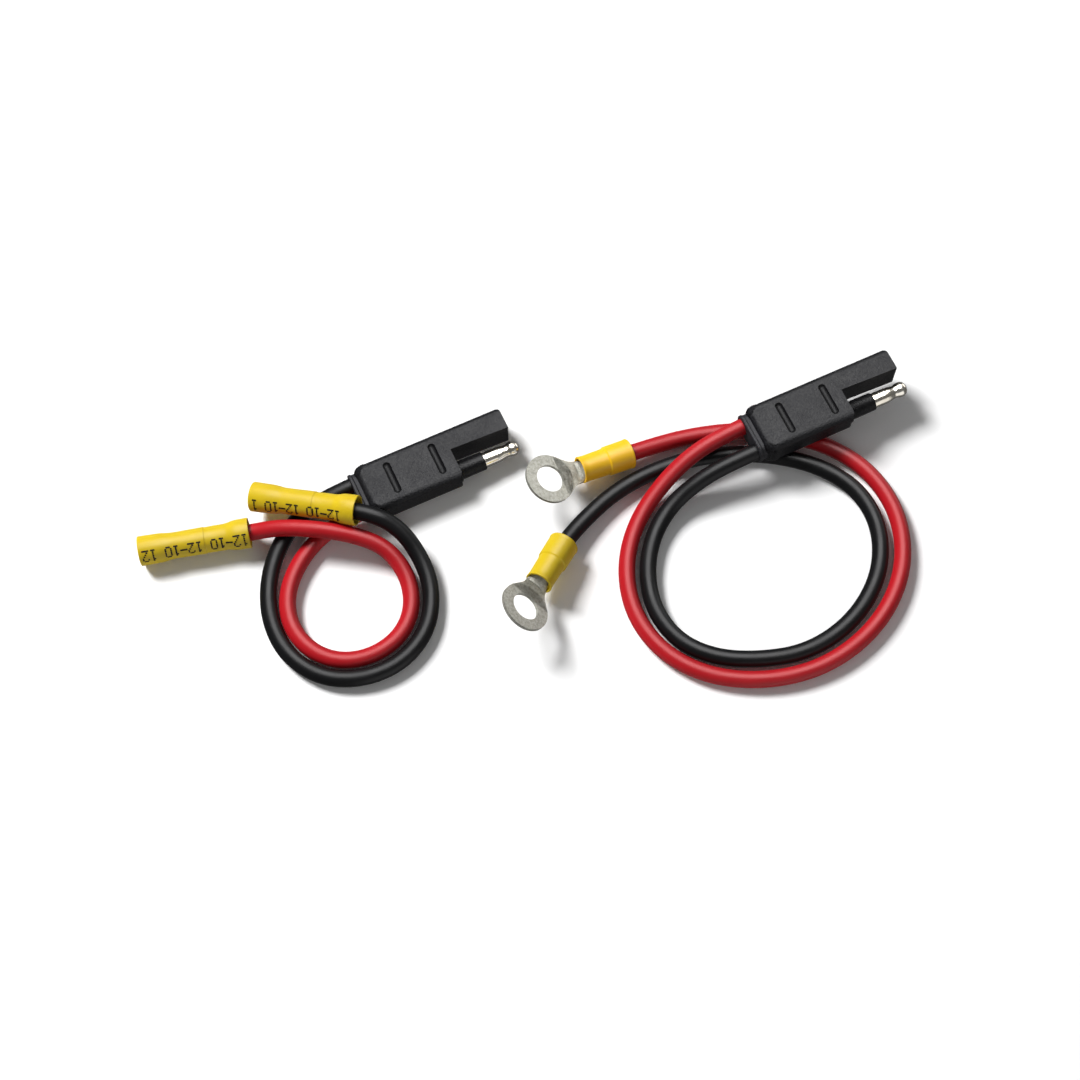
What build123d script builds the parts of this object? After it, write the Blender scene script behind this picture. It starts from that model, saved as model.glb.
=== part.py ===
# Two-pole flat quick-disconnect for solar and battery leads: both matching halves, each with its
# own pair of leads.  One pair ends in butt splices, the other in ring terminals.
# Millimetres.  +X is the plugging direction, +Z is up, and z = 0 is the surface the set lies on.
# The origin is under the middle of the two moulded halves with their contacts.
import os
from math import cos, radians, sin, tan

from build123d import *

# ---- moulded half ----------------------------------------------------------------------------
pole_pitch = 8.8            # between the two contact axes, and between the two leads
body_length = 28.4
body_width = 16.0
body_height = 9.0
long_edge_round = 1.7       # top and bottom edges of the body
rear_round = 2.9            # upright corners at the lead end
front_round = 1.4           # upright corner beside the pin
shroud_length = 18.2
shroud_root_width = 6.9
shroud_mouth_width = 7.5
collar_length = 8.0
collar_tip_wall = 0.415      # moulding round the pin, at the collar's tip and at its root
collar_root_wall = 0.515
collar_foot_round = 0.5
mouth_clearance = 0.15      # socket mouth round the mate's collar, radial
grip_length = 10.7
grip_width = 2.0
grip_depth = 0.7
grip_setbacks = (4.8, 19.0)  # behind the front face

# ---- inner carrier that the contacts and leads sit in -----------------------------------------
carrier_side_wall = 0.8     # housing wall left beside the carrier
carrier_top_wall = 1.2      # housing wall left above and below it
carrier_front_setback = 3.0
carrier_corner_round = 2.6
neck_length = 1.0
flange_thickness = 1.0
flange_width = 14.8
flange_height = 7.6
flange_corner_round = 3.0

# ---- contacts --------------------------------------------------------------------------------
pin_diameter = 4.57
pin_length = 11.2           # bare length in front of the collar
pin_base_length = 4.6       # full-diameter stretch next to the collar
pin_waist = 0.85            # of the pin's diameter, at its narrowest
pin_waist_setback = 2.2     # from the full-diameter stretch to the narrowest place
pin_stem = 0.875            # of the pin's diameter, inside the housing
pin_socket_clearance = 0.03  # radial
socket_wall = 0.3
socket_depth = 14.0
slit_width = 0.5
slit_length = 8.0
crimp_wall = 0.6
crimp_length = 9.0

# ---- leads -----------------------------------------------------------------------------------
lead_diameter = 4.9
conductor_diameter = 3.0
strip_length = 8.0          # bare conductor at each end
lead_seat = 4.0             # insulation inside the rear flange
corner_share = 0.45         # of the shorter run, spent on each corner's arc

# ---- butt splices, measured from the end of the lead's covering -------------------------------
splice_length = 32.0
splice_overlap = 6.5        # sleeve over the insulation
splice_bell_diameter = 8.9  # at the lead
splice_mouth_diameter = 8.7  # at the open end
splice_waist_diameter = 7.7
splice_wall = 0.6           # of the bell and the mouth
splice_bell_shoulder = (-2.2, 0.2)
splice_mouth_shoulder = (13.6, 18.8)
splice_barrel_diameter = 5.0
splice_barrel_length = 20.0
splice_barrel_setback = 1.5  # from the barrel's end to the full bore of the mouth
splice_bore_diameter = 3.5
splice_stop_thickness = 1.0

# ---- ring terminals, measured from the end of the lead's covering -------------------------------
sleeve_length = 16.0
sleeve_overlap = 6.5
sleeve_bell_diameter = 8.9
sleeve_nose_diameter = 8.0
sleeve_step = (1.0, 1.4)    # outside, between the bell and the nose
sleeve_wall = 0.7
ring_barrel_diameter = 5.2
ring_barrel_length = 8.5
ring_diameter = 15.0
stud_hole_diameter = 8.4
plate_thickness = 1.0
plate_root_width = 6.6
ring_reach = 20.0           # end of the insulation to the middle of the ring
shoulder_length = 2.6
shoulder_drop = 0.87        # barrel axis to the middle of the plate
neck_spread = 60.0          # degrees round the ring, where the neck runs into it
tongue_rise = 16.0          # degrees, tongue against barrel
ring_rolls = {"red": -6.0, "black": -25.0}  # degrees, terminal about its own lead

# ---- how the two halves lie: the middle of each rear flange, seen from above ---------------------
low_lead_end = (-80.05, 16.5)
raised_lead_end = (30.45, -16.5)
lead_gap = 0.2              # between the raised housing and the leads it lies on
pick_tolerance = 0.1        # an edge to be rounded lies this near the place it is picked by

axis_height = body_height / 2
raised_axis_height = lead_diameter + lead_gap + axis_height
rear_face = -(body_length + neck_length + flange_thickness)
low_half = Vector(low_lead_end[0] - rear_face, low_lead_end[1], axis_height)
raised_half = Vector(raised_lead_end[0] - rear_face, raised_lead_end[1], raised_axis_height)
socket_y = pole_pitch / 2
pin_y = -pole_pitch / 2
seat_x = rear_face + lead_seat
floor_z = lead_diameter / 2

# ---- lead routes, from the seat in the carrier to the end of the insulation in the terminal ----
low_seat = low_half + Vector(seat_x, 0, 0)
raised_seat = raised_half + Vector(seat_x, 0, 0)
straight_exit = -7.45       # x of the first bend from the seat
black_splice_route = [
    low_seat + Vector(0, socket_y, 0),
    low_seat + Vector(straight_exit, socket_y, 0),
    (-95.4, 20.4, 2.5),
    (-105.4, 14.2, floor_z),
    (-113.2, 4.6, floor_z),
    (-117.4, -7.0, floor_z),
    (-116.8, -19.0, floor_z),
    (-110.4, -29.2, floor_z),
    (-99.8, -34.4, floor_z),
    (-88.0, -34.4, floor_z),
    (-77.6, -28.6, floor_z),
    (-71.6, -18.4, floor_z),
    (-70.5, -8.2, 4.2),
    (-73.0, 1.4, 8.6),
    (-79.5, 7.9, 12.4),
    (-87.2, 13.7, 10.9),
]
red_splice_route = [
    low_seat + Vector(0, pin_y, 0),
    low_seat + Vector(straight_exit, pin_y, 0),
    (-94.8, 10.9, 2.5),
    (-103.8, 5.4, floor_z),
    (-110.2, -2.0, floor_z),
    (-112.7, -11.2, floor_z),
    (-110.3, -20.4, floor_z),
    (-103.8, -27.0, floor_z),
    (-94.6, -29.3, floor_z),
    (-85.2, -27.1, floor_z),
    (-78.5, -20.4, floor_z),
    (-76.1, -11.0, 3.3),
    (-78.4, -1.8, 6.0),
    (-85.6, 5.0, 8.2),
    (-95.0, 11.2, 8.5),
    (-104.2, 16.4, 7.6),
    (-112.2, 19.6, 4.9),
    (-118.6, 21.3, 4.8),
]
red_ring_route = [
    raised_seat + Vector(0, socket_y, 0),
    raised_seat + Vector(straight_exit, socket_y, 0),
    (14.4, -13.0, 8.2),
    (2.2, -16.8, 4.9),
    (-9.6, -23.8, floor_z),
    (-18.6, -35.0, floor_z),
    (-22.6, -49.0, floor_z),
    (-20.2, -62.8, floor_z),
    (-11.8, -74.4, floor_z),
    (1.2, -82.2, floor_z),
    (15.8, -85.8, floor_z),
    (30.6, -84.4, floor_z),
    (44.6, -78.2, floor_z),
    (55.4, -67.6, floor_z),
    (61.0, -53.8, floor_z),
    (60.4, -39.4, floor_z),
    (54.2, -27.0, floor_z),
    (43.8, -17.2, floor_z),
    (31.8, -10.2, floor_z),
    (18.4, -5.8, floor_z),
    (4.8, -4.1, 3.7),
    (-8.4, -3.8, 5.5),
]
black_ring_route = [
    raised_seat + Vector(0, pin_y, 0),
    raised_seat + Vector(straight_exit, pin_y, 0),
    (14.2, -20.8, 7.4),
    (2.6, -23.0, 3.5),
    (-6.8, -29.4, floor_z),
    (-13.6, -39.0, floor_z),
    (-16.8, -50.4, floor_z),
    (-14.6, -61.8, floor_z),
    (-7.2, -70.6, floor_z),
    (3.8, -76.4, floor_z),
    (15.8, -79.8, floor_z),
    (28.0, -78.8, floor_z),
    (39.4, -74.0, floor_z),
    (48.8, -65.6, floor_z),
    (54.2, -54.4, floor_z),
    (54.2, -42.2, floor_z),
    (48.6, -31.8, floor_z),
    (39.4, -23.2, floor_z),
    (27.6, -16.4, floor_z),
    (14.8, -12.2, floor_z),
    (1.2, -11.0, floor_z),
    (-11.6, -12.6, 2.5),
    (-22.6, -16.8, 3.2),
    (-30.8, -21.0, 4.3),
    (-36.6, -25.4, 6.1),
]


# ---- helpers ---------------------------------------------------------------------------------
def along_x(sketch_points, middle_y=0.0):
    """A solid turned about an axis along X; the points are (x, radius) from one end to the other."""
    outline = [(sketch_points[0][0], 0), *sketch_points, (sketch_points[-1][0], 0)]
    turned = revolve(make_face(Polyline(outline, close=True)), Axis.X)
    return turned.moved(Location((0, middle_y, 0)))


def rod(start_x, end_x, diameter, middle_y=0.0):
    """A plain round bar along X."""
    return along_x([(start_x, diameter / 2), (end_x, diameter / 2)], middle_y)


def rounded_bar(start_x, end_x, width, height, corner):
    """A bar along X with a rounded rectangular section."""
    section = Plane.YZ.offset(start_x) * RectangleRounded(width, height, corner)
    return extrude(section, end_x - start_x)


def single(shape):
    """The one solid that a boolean result holds."""
    return shape.solids()[0]


# ---- moulded half, in its own frame: origin at the middle of the front face, +X to the mate ------
crimp_diameter = conductor_diameter + 2 * crimp_wall
stem_diameter = pin_stem * pin_diameter
collar_tip_diameter = pin_diameter + 2 * collar_tip_wall
collar_root_diameter = pin_diameter + 2 * collar_root_wall
socket_bore_diameter = pin_diameter + 2 * pin_socket_clearance
socket_diameter = socket_bore_diameter + 2 * socket_wall
mouth_diameter = collar_root_diameter + 2 * mouth_clearance
mouth_depth = collar_length + mouth_clearance
socket_front_x = shroud_length - mouth_depth
socket_floor_x = socket_front_x - socket_depth
carrier_front_x = -carrier_front_setback
carrier_width = body_width - 2 * carrier_side_wall
carrier_height = body_height - 2 * carrier_top_wall
crimp_rear_x = seat_x
crimp_front_x = crimp_rear_x + crimp_length


def pin_envelope():
    """Outer shape of the bullet pin and its crimp barrel."""
    tip_x = collar_length + pin_length
    radius = pin_diameter / 2
    base_end_x = collar_length + pin_base_length
    waist_x = base_end_x + pin_waist_setback
    bulb_x = tip_x - radius
    with BuildPart() as pin:
        with BuildSketch():
            with BuildLine():
                lower = Polyline(
                    (crimp_rear_x, 0),
                    (crimp_rear_x, crimp_diameter / 2),
                    (crimp_front_x, crimp_diameter / 2),
                    (crimp_front_x, stem_diameter / 2),
                    (collar_length, stem_diameter / 2),
                    (collar_length, radius),
                    (base_end_x, radius),
                )
                waist = Spline(
                    lower @ 1,
                    (waist_x, pin_waist * radius),
                    (bulb_x, radius),
                    tangents=[(1, 0), (1, 0)],
                )
                nose = RadiusArc(waist @ 1, (tip_x, 0), radius)
                Line(nose @ 1, lower @ 0)
            make_face()
        revolve(axis=Axis.X)
    return pin.part.moved(Location((0, pin_y, 0)))


def socket_envelope():
    """Outer shape of the socket tube and its crimp barrel."""
    profile = [
        (crimp_rear_x, crimp_diameter / 2),
        (crimp_front_x, crimp_diameter / 2),
        (crimp_front_x, stem_diameter / 2),
        (socket_floor_x - socket_wall, stem_diameter / 2),
        (socket_floor_x - socket_wall, socket_diameter / 2),
        (socket_front_x, socket_diameter / 2),
    ]
    return along_x(profile, socket_y)


def pin_contact():
    """Nickel-plated bullet pin, bored at the back for the conductor."""
    return single(pin_envelope() - rod(crimp_rear_x, crimp_rear_x + strip_length, conductor_diameter, pin_y))


def socket_contact():
    """Slit spring tube that grips the mate's pin, bored at the back for the conductor."""
    tube = socket_envelope() - rod(socket_floor_x, socket_front_x, socket_bore_diameter, socket_y)
    tube -= rod(crimp_rear_x, crimp_rear_x + strip_length, conductor_diameter, socket_y)
    slit = Box(slit_length, slit_width, socket_diameter, align=(Align.MAX, Align.CENTER, Align.MIN))
    return single(tube - slit.moved(Location((socket_front_x, socket_y, 0))))


def body_block():
    """Body with its long edges, rear corners and the corner beside the pin rounded."""
    half_width = body_width / 2
    plan = make_face(Polyline(
        (-body_length, -half_width),
        (0, -half_width),
        (0, half_width - shroud_root_width),
        (shroud_length, half_width - shroud_mouth_width),
        (shroud_length, half_width),
        (-body_length, half_width),
        close=True,
    ))
    block = extrude(plan, body_height / 2, both=True)
    upright = block.edges().filter_by(Axis.Z)
    block = fillet(upright.group_by(Axis.X)[0], rear_round)
    beside_pin = block.edges().filter_by(Axis.Z).filter_by(
        lambda edge: abs(edge.center().X) < pick_tolerance and edge.center().Y < 0)
    block = fillet(beside_pin, front_round)
    level = block.edges().filter_by(
        lambda edge: abs(abs(edge.center().Z) - body_height / 2) < pick_tolerance)
    outer = level.filter_by(
        lambda edge: edge.center().X < -pick_tolerance
        or edge.center().Y > half_width - pick_tolerance
        or (edge.center().X < pick_tolerance and edge.center().Y < pin_y))
    return fillet(outer, long_edge_round)


def grips():
    """Round-ended finger slots, cut on the top and the bottom face."""
    cutters = []
    for setback in grip_setbacks:
        for side in (1, -1):
            slot = Plane.XY.offset(side * (body_height / 2 - grip_depth)) * Pos(-setback, 0) * (
                SlotOverall(grip_length, grip_width, rotation=90))
            cutters.append(extrude(slot, side * body_height))
    return cutters


def housing():
    """Overmoulded housing: body, shroud round the socket, collar round the pin's root."""
    block = body_block()
    collar = along_x(
        [(-front_round, collar_root_diameter / 2), (0, collar_root_diameter / 2),
         (collar_length, collar_tip_diameter / 2)], pin_y)
    foot = along_x(
        [(-front_round, collar_root_diameter / 2), (0, collar_root_diameter / 2 + collar_foot_round),
         (collar_foot_round, collar_root_diameter / 2)], pin_y)
    block = block + collar + foot
    for cutter in grips():
        block -= cutter
    block -= rounded_bar(-body_length, carrier_front_x, carrier_width, carrier_height,
                         carrier_corner_round)
    block -= pin_envelope()
    block -= socket_envelope()
    block -= rod(socket_front_x, shroud_length, mouth_diameter, socket_y)
    return single(block)


def carrier():
    """Inner moulding that holds the contacts; its flange closes the back of the housing."""
    core = rounded_bar(-body_length - neck_length, carrier_front_x, carrier_width, carrier_height,
                       carrier_corner_round)
    flange = rounded_bar(rear_face, rear_face + flange_thickness, flange_width, flange_height,
                         flange_corner_round)
    block = core + flange - pin_envelope() - socket_envelope()
    for middle_y in (pin_y, socket_y):
        block -= rod(rear_face, seat_x, lead_diameter, middle_y)
    return single(block)


# ---- leads -----------------------------------------------------------------------------------
def corner_radii(points):
    """The arc at each corner of a route, as large as its two runs allow."""
    radii = []
    for before, corner, after in zip(points, points[1:], points[2:]):
        run_in = corner - before
        run_out = after - corner
        turn = radians(run_in.get_angle(run_out))
        radii.append(corner_share * min(run_in.length, run_out.length) / tan(turn / 2))
    return radii


def lead(name, route):
    """Insulation and conductor along one route; the conductor stands bare at both ends."""
    points = [Vector(point) for point in route]
    radii = corner_radii(points)
    print(name, "radii", [round(radius, 1) for radius in radii])
    path = FilletPolyline(*points, radius=radii)
    first_run = (points[0] - points[1]).normalized()
    last_run = (points[-1] - points[-2]).normalized()
    long_points = [points[0] + first_run * strip_length, *points[1:-1], points[-1] + last_run * strip_length]
    long_path = FilletPolyline(*long_points, radius=radii)
    skin = Plane(origin=path @ 0, z_dir=path % 0) * (
        Circle(lead_diameter / 2) - Circle(conductor_diameter / 2))
    core = Plane(origin=long_path @ 0, z_dir=long_path % 0) * Circle(conductor_diameter / 2)
    insulation = single(sweep(skin, path=path))
    conductor = single(sweep(core, path=long_path))
    print(name, "length", round(path.length, 1), "volume share",
          round(insulation.volume / (skin.area * path.length), 4))
    return insulation, conductor


def terminal_frame(route, roll=0.0):
    """Where a terminal sits: origin at the end of the insulation, +X away from the lead."""
    end = Vector(route[-1])
    outward = (end - Vector(route[-2])).normalized()
    across = Vector(0, 0, 1).cross(outward).normalized()
    upward = outward.cross(across)
    return Plane(origin=end, x_dir=outward, z_dir=upward).location * Rot(X=roll)


def hollow_turn(outside, inside):
    """A sleeve turned about X between two outlines of (x, radius) points."""
    outline = [*outside, *reversed(inside)]
    return revolve(make_face(Polyline(outline, close=True)), Axis.X)


# ---- butt splice, in the terminal frame --------------------------------------------------------
def splice_barrel():
    """Tinned tube with a stop in the middle; the lead fills one end and the other is open."""
    barrel = rod(0, splice_barrel_length, splice_barrel_diameter)
    barrel -= rod(0, strip_length, conductor_diameter)
    stop_end_x = strip_length + splice_stop_thickness
    return single(barrel - rod(stop_end_x, splice_barrel_length, splice_bore_diameter))


def splice_sleeve():
    """Vinyl sleeve with a bell over the lead, a waist over the barrel and a belled open mouth."""
    start_x = -splice_overlap
    end_x = splice_length - splice_overlap
    bell_radius = splice_bell_diameter / 2
    waist_radius = splice_waist_diameter / 2
    mouth_radius = splice_mouth_diameter / 2
    bore_radius = splice_barrel_diameter / 2
    outside = [
        (start_x, bell_radius),
        (splice_bell_shoulder[0], bell_radius),
        (splice_bell_shoulder[1], waist_radius),
        (splice_mouth_shoulder[0], waist_radius),
        (splice_mouth_shoulder[1], mouth_radius),
        (end_x, mouth_radius),
    ]
    inside = [
        (start_x, bell_radius - splice_wall),
        (splice_bell_shoulder[0], bell_radius - splice_wall),
        (0, bore_radius),
        (splice_barrel_length, bore_radius),
        (splice_barrel_length + splice_barrel_setback, mouth_radius - splice_wall),
        (end_x, mouth_radius - splice_wall),
    ]
    return single(hollow_turn(outside, inside))


# ---- ring terminal, in the terminal frame ------------------------------------------------------
def ring_plate():
    """Tinned barrel, flattened shoulder and a flat tongue with the stud hole."""
    barrel = rod(0, ring_barrel_length, ring_barrel_diameter)
    barrel -= rod(0, strip_length, conductor_diameter)
    rise = radians(tongue_rise)
    shoulder_end = Vector(ring_barrel_length + shoulder_length, 0, -shoulder_drop)
    tongue = Plane(origin=shoulder_end, x_dir=(cos(rise), 0, sin(rise)), z_dir=(-sin(rise), 0, cos(rise)))
    root_face = Plane(origin=shoulder_end, x_dir=(0, 1, 0), z_dir=(cos(rise), 0, sin(rise))) * (
        Rectangle(plate_root_width, plate_thickness))
    barrel_face = Plane(origin=(ring_barrel_length, 0, 0), x_dir=(0, 1, 0), z_dir=(1, 0, 0)) * (
        Circle(ring_barrel_diameter / 2))
    shoulder = loft([barrel_face.face(), root_face.face()])
    ring_x = ring_reach - shoulder_end.X
    neck_x = ring_x - ring_diameter / 2 * cos(radians(neck_spread))
    neck_y = ring_diameter / 2 * sin(radians(neck_spread))
    neck = make_face(Polyline(
        (0, -plate_root_width / 2),
        (0, plate_root_width / 2),
        (neck_x, neck_y),
        (neck_x, -neck_y),
        close=True,
    ))
    outline = neck + Pos(ring_x, 0) * Circle(ring_diameter / 2) - (
        Pos(ring_x, 0) * Circle(stud_hole_diameter / 2))
    plate = extrude(tongue * outline, plate_thickness / 2, both=True)
    return single(barrel + shoulder + plate)


def ring_sleeve():
    """Vinyl sleeve: a wide bell over the insulation, a step, then the nose over the barrel."""
    start_x = -sleeve_overlap
    end_x = sleeve_length - sleeve_overlap
    bell_radius = sleeve_bell_diameter / 2
    nose_radius = sleeve_nose_diameter / 2
    bore_radius = ring_barrel_diameter / 2
    outside = [
        (start_x, bell_radius),
        (sleeve_step[0], bell_radius),
        (sleeve_step[1], nose_radius),
        (end_x, nose_radius),
    ]
    inside = [
        (start_x, bell_radius - sleeve_wall),
        (-sleeve_step[1], bell_radius - sleeve_wall),
        (0, bore_radius),
        (ring_barrel_length, bore_radius),
        (ring_barrel_length, nose_radius - sleeve_wall),
        (end_x, nose_radius - sleeve_wall),
    ]
    return single(hollow_turn(outside, inside))


# ---- assemble and write ------------------------------------------------------------------------
os.makedirs("parts", exist_ok=True)
nodes = {}
for half_name, place in (("splice_half", low_half), ("ring_half", raised_half)):
    at = Location(place)
    nodes[f"{half_name}_housing"] = housing().moved(at)
    nodes[f"{half_name}_carrier"] = carrier().moved(at)
    nodes[f"{half_name}_pin"] = pin_contact().moved(at)
    nodes[f"{half_name}_socket"] = socket_contact().moved(at)

for end_name, colour, route in (
    ("splice", "black", black_splice_route),
    ("splice", "red", red_splice_route),
    ("ring", "black", black_ring_route),
    ("ring", "red", red_ring_route),
):
    lead_name = f"{colour}_{end_name}_lead"
    insulation, conductor = lead(lead_name, route)
    nodes[f"{lead_name}_insulation"] = insulation
    nodes[f"{lead_name}_conductor"] = conductor
    if end_name == "splice":
        frame = terminal_frame(route)
        nodes[f"{colour}_splice_barrel"] = splice_barrel().moved(frame)
        nodes[f"{colour}_splice_sleeve"] = splice_sleeve().moved(frame)
    else:
        frame = terminal_frame(route, ring_rolls[colour])
        nodes[f"{colour}_ring_terminal"] = ring_plate().moved(frame)
        nodes[f"{colour}_ring_sleeve"] = ring_sleeve().moved(frame)

for node_name, solid in nodes.items():
    export_step(solid, f"parts/{node_name}.step")
print(len(nodes), "nodes written")
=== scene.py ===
import math
import random

import bmesh
import bpy
from mathutils import Matrix, Vector
from mathutils.bvhtree import BVHTree


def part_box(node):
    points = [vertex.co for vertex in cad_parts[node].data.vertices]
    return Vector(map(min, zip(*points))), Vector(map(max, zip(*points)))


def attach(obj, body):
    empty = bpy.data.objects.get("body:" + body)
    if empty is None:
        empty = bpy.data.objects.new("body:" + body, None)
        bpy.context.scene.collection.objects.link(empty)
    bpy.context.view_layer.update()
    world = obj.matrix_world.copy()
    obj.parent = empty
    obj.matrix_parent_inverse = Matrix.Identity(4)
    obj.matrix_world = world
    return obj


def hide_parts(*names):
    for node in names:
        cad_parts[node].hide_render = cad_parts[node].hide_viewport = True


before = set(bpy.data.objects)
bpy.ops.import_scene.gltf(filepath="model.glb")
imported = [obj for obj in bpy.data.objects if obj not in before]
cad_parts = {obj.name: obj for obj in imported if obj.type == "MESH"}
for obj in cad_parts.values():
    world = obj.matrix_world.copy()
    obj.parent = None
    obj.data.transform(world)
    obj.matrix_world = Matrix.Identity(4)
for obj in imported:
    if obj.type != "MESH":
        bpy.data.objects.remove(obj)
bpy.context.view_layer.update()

mm = 0.001
random.seed(12)

# the view: a long lens from above the near left corner
camera = {
    "spot": (-0.1336, -0.2241, 0.5543),
    "aim": (-0.03655, -0.016, 0.0),
    "lens": 68.8,
}
cameraData = bpy.data.cameras.new("camera")
cameraData.lens = camera["lens"]
cameraData.sensor_width = 36.0
cameraObject = bpy.data.objects.new("camera", cameraData)
bpy.context.scene.collection.objects.link(cameraObject)
cameraObject.location = camera["spot"]
lookAlong = Vector(camera["aim"]) - Vector(camera["spot"])
cameraObject.rotation_euler = lookAlong.to_track_quat("-Z", "Y").to_euler()
bpy.context.scene.camera = cameraObject
bpy.context.scene.view_settings.view_transform = "Standard"


# small tools for materials
mixFrom, mixTo, mixResult = 6, 7, 2  # a mix node's colour sockets, whose names other sockets share


# linear colour from an sRGB hex code
def hexColour(code):
    channels = [int(code[i:i + 2], 16) / 255 for i in (1, 3, 5)]
    return tuple(c / 12.92 if c <= 0.04045 else ((c + 0.055) / 1.055) ** 2.4 for c in channels) + (1.0,)


def perMm(size):
    return 1000.0 / size  # pattern scale for a feature this many millimetres across


# adds one node; values and links are keyed by input name or number, settings are the node's own
def addNode(tree, kind, values=None, links=None, **settings):
    node = tree.nodes.new(kind)
    for name, value in settings.items():
        setattr(node, name, value)
    for name, value in (values or {}).items():
        node.inputs[name].default_value = value
    for name, source in (links or {}).items():
        tree.links.new(source, node.inputs[name])
    return node


def startMaterial(name):
    material = bpy.data.materials.new(name)
    material.use_nodes = True
    material.node_tree.nodes.clear()
    return material, material.node_tree, addNode(material.node_tree, "ShaderNodeTexCoord").outputs["Object"]


def finishMaterial(tree, values, links):
    shader = addNode(tree, "ShaderNodeBsdfPrincipled", values, links)
    addNode(tree, "ShaderNodeOutputMaterial", links={"Surface": shader.outputs["BSDF"]})


# flexible PVC moulded in a spark-eroded tool: an even fine grain breaks up the sheen and greys the black
def mouldedPvc(name, dark, light, smooth, rough):
    material, tree, coords = startMaterial(name)
    # real grit is about 0.05 mm, drawn coarser so that it shows
    grit = addNode(tree, "ShaderNodeTexNoise", {"Scale": perMm(0.42), "Detail": 2.0, "Roughness": 0.6},
                   {"Vector": coords})
    blotch = addNode(tree, "ShaderNodeTexNoise", {"Scale": perMm(7.0), "Detail": 2.0}, {"Vector": coords})
    sheen = addNode(tree, "ShaderNodeMath", {1: 0.25}, {0: blotch.outputs["Fac"]}, operation="MULTIPLY")
    both = addNode(tree, "ShaderNodeMath", links={0: grit.outputs["Fac"], 1: sheen.outputs[0]},
                   operation="ADD")
    tint = addNode(tree, "ShaderNodeMapRange", {"From Min": 0.35, "From Max": 0.65},
                   {"Value": grit.outputs["Fac"]})
    colour = addNode(tree, "ShaderNodeMix", {mixFrom: hexColour(dark), mixTo: hexColour(light)},
                     {0: tint.outputs["Result"]}, data_type="RGBA")
    dull = addNode(tree, "ShaderNodeMapRange",
                   {"From Min": 0.45, "From Max": 0.8, "To Min": smooth, "To Max": rough},
                   {"Value": both.outputs[0]})
    bump = addNode(tree, "ShaderNodeBump", {"Distance": 0.1 * mm}, {"Height": grit.outputs["Fac"]})
    finishMaterial(tree, {"IOR": 1.53, "Specular IOR Level": 0.16}, {
        "Base Color": colour.outputs[mixResult], "Roughness": dull.outputs["Result"],
        "Normal": bump.outputs["Normal"]})
    return material


# extruded PVC wire covering: satin, with a soft broad highlight and a little handling dullness; the skin's
# faint waviness is drawn coarser than it is
def wirePvc(name, dark, light, smooth, rough, specular):
    material, tree, coords = startMaterial(name)
    cloud = addNode(tree, "ShaderNodeTexNoise", {"Scale": perMm(6.0), "Detail": 3.0}, {"Vector": coords})
    skin = addNode(tree, "ShaderNodeTexNoise", {"Scale": perMm(0.8), "Detail": 2.0}, {"Vector": coords})
    colour = addNode(tree, "ShaderNodeMix", {mixFrom: hexColour(dark), mixTo: hexColour(light)},
                     {0: cloud.outputs["Fac"]}, data_type="RGBA")
    dull = addNode(tree, "ShaderNodeMapRange",
                   {"From Min": 0.3, "From Max": 0.7, "To Min": smooth, "To Max": rough},
                   {"Value": cloud.outputs["Fac"]})
    bump = addNode(tree, "ShaderNodeBump", {"Distance": 0.012 * mm}, {"Height": skin.outputs["Fac"]})
    finishMaterial(tree, {"IOR": 1.53, "Specular IOR Level": specular}, {
        "Base Color": colour.outputs[mixResult], "Roughness": dull.outputs["Result"],
        "Normal": bump.outputs["Normal"]})
    return material


# moulded soft vinyl sleeve: waxy semi-gloss with a pale highlight, a little light bleeds through the thin
# wall; the skin's waviness is drawn coarser than it is
def sleeveVinyl(name, dark, light, smooth, rough):
    material, tree, coords = startMaterial(name)
    cloud = addNode(tree, "ShaderNodeTexNoise", {"Scale": perMm(5.0), "Detail": 2.0}, {"Vector": coords})
    skin = addNode(tree, "ShaderNodeTexNoise", {"Scale": perMm(1.2), "Detail": 2.0}, {"Vector": coords})
    colour = addNode(tree, "ShaderNodeMix", {mixFrom: hexColour(dark), mixTo: hexColour(light)},
                     {0: cloud.outputs["Fac"]}, data_type="RGBA")
    dull = addNode(tree, "ShaderNodeMapRange",
                   {"From Min": 0.3, "From Max": 0.7, "To Min": smooth, "To Max": rough},
                   {"Value": skin.outputs["Fac"]})
    bump = addNode(tree, "ShaderNodeBump", {"Distance": 0.025 * mm}, {"Height": skin.outputs["Fac"]})
    finishMaterial(tree, {
        "IOR": 1.52, "Specular IOR Level": 0.28, "Subsurface Weight": 0.15,
        "Subsurface Radius": (0.8, 0.6, 0.15), "Subsurface Scale": 0.8 * mm,
    }, {
        "Base Color": colour.outputs[mixResult], "Roughness": dull.outputs["Result"],
        "Normal": bump.outputs["Normal"]})
    return material


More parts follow.
